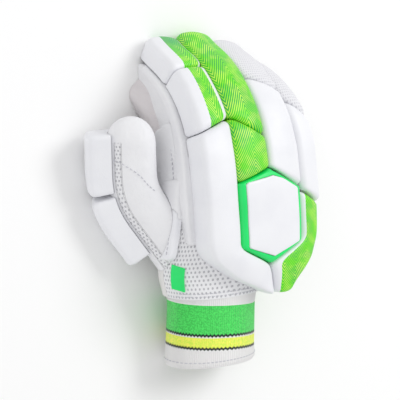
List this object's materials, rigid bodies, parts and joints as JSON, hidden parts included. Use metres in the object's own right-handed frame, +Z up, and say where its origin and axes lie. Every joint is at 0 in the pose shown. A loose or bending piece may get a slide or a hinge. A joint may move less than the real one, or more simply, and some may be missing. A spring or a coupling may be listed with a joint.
{
  "type": "cricket batting glove",
  "caption": "Right-hand cricket batting glove with padded finger rolls, a raised hexagonal boss, a split thumb guard and a towelling cuff, lying palm down.",
  "frame": {"origin": "on the table, at the middle of the flat spot where the cuff's lower edge rests, close behind the cuff's open end", "axes": "+Z up out of the back of the hand, +Y from the cuff towards the finger tips, -X towards the thumb"},
  "size_m": [0.1996, 0.2706, 0.082],
  "materials": {
    "white_leather": "smooth, soft sheen, white",
    "palm_leather": "matt, fine grain, off-white",
    "white_mesh": "matt perforated mesh, white",
    "green_print": "satin, green and lime herringbone",
    "green_boss": "satin, bright green",
    "towelling": "matt looped towelling, white with green and yellow bands"
  },
  "bodies": {
    "root": {"cuff": "towelling", "cuff_tab": "towelling", "palm": "palm_leather", "back_panel": "white_mesh", "index_stall": "palm_leather", "middle_stall": "palm_leather", "ring_stall": "palm_leather", "little_stall": "palm_leather", "thumb_stall": "white_leather", "index_base_pad": "white_leather", "index_mid_pad": "green_print", "index_tip_pad": "green_print", "middle_mid_pad": "green_print", "middle_tip_pad": "green_print", "ring_mid_pad": "white_leather", "ring_tip_pad": "white_leather", "little_base_pad": "white_leather", "little_tip_pad": "white_leather", "edge_pad": "green_print", "boss_block": "green_boss", "boss_plate": "white_leather", "side_bar": "white_leather", "flex_panel": "white_leather", "wrist_tag": "green_boss", "thumb_base_guard": "white_leather", "thumb_tip_guard": "white_leather"}
  },
  "joints": []
}
